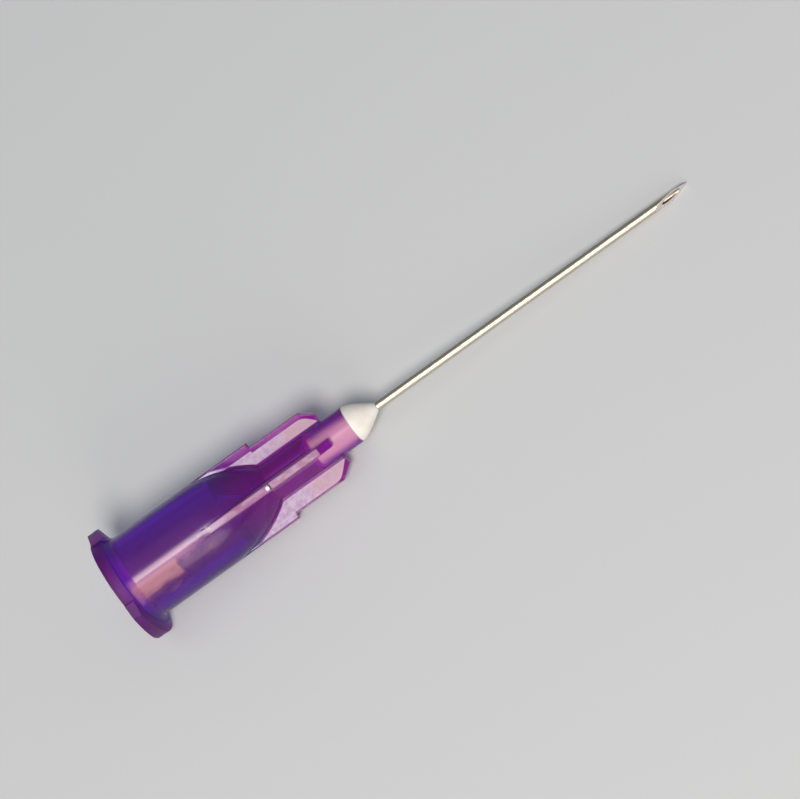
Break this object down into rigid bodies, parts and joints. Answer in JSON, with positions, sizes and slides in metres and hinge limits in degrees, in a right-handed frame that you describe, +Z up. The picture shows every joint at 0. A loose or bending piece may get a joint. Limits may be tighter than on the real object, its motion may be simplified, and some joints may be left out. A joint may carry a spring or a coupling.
{
  "type": "hypodermic needle",
  "caption": "Single-use hypodermic needle: a violet translucent locking hub with fins, and a fine steel cannula with a lancet point, bonded with ivory adhesive.",
  "frame": {"origin": "on the ground under the middle of the needle as it lies at rest", "axes": "+X from the hub towards the point, +Z up; the needle's own axis dips towards the point by 4.2 degrees, because it rests on its collar and close to its point, and it is rolled by 39 degrees, with two of its four fins looking down"},
  "size_m": [0.0438, 0.0078, 0.0068],
  "materials": {
    "violet_plastic": "violet translucent polypropylene, glossy, with frosted fins",
    "steel": "bright drawn stainless tube, ground at the point",
    "epoxy": "ivory cured epoxy, satin"
  },
  "bodies": {
    "root": {"hub": "violet_plastic", "cannula": "steel", "adhesive": "epoxy"}
  },
  "joints": []
}
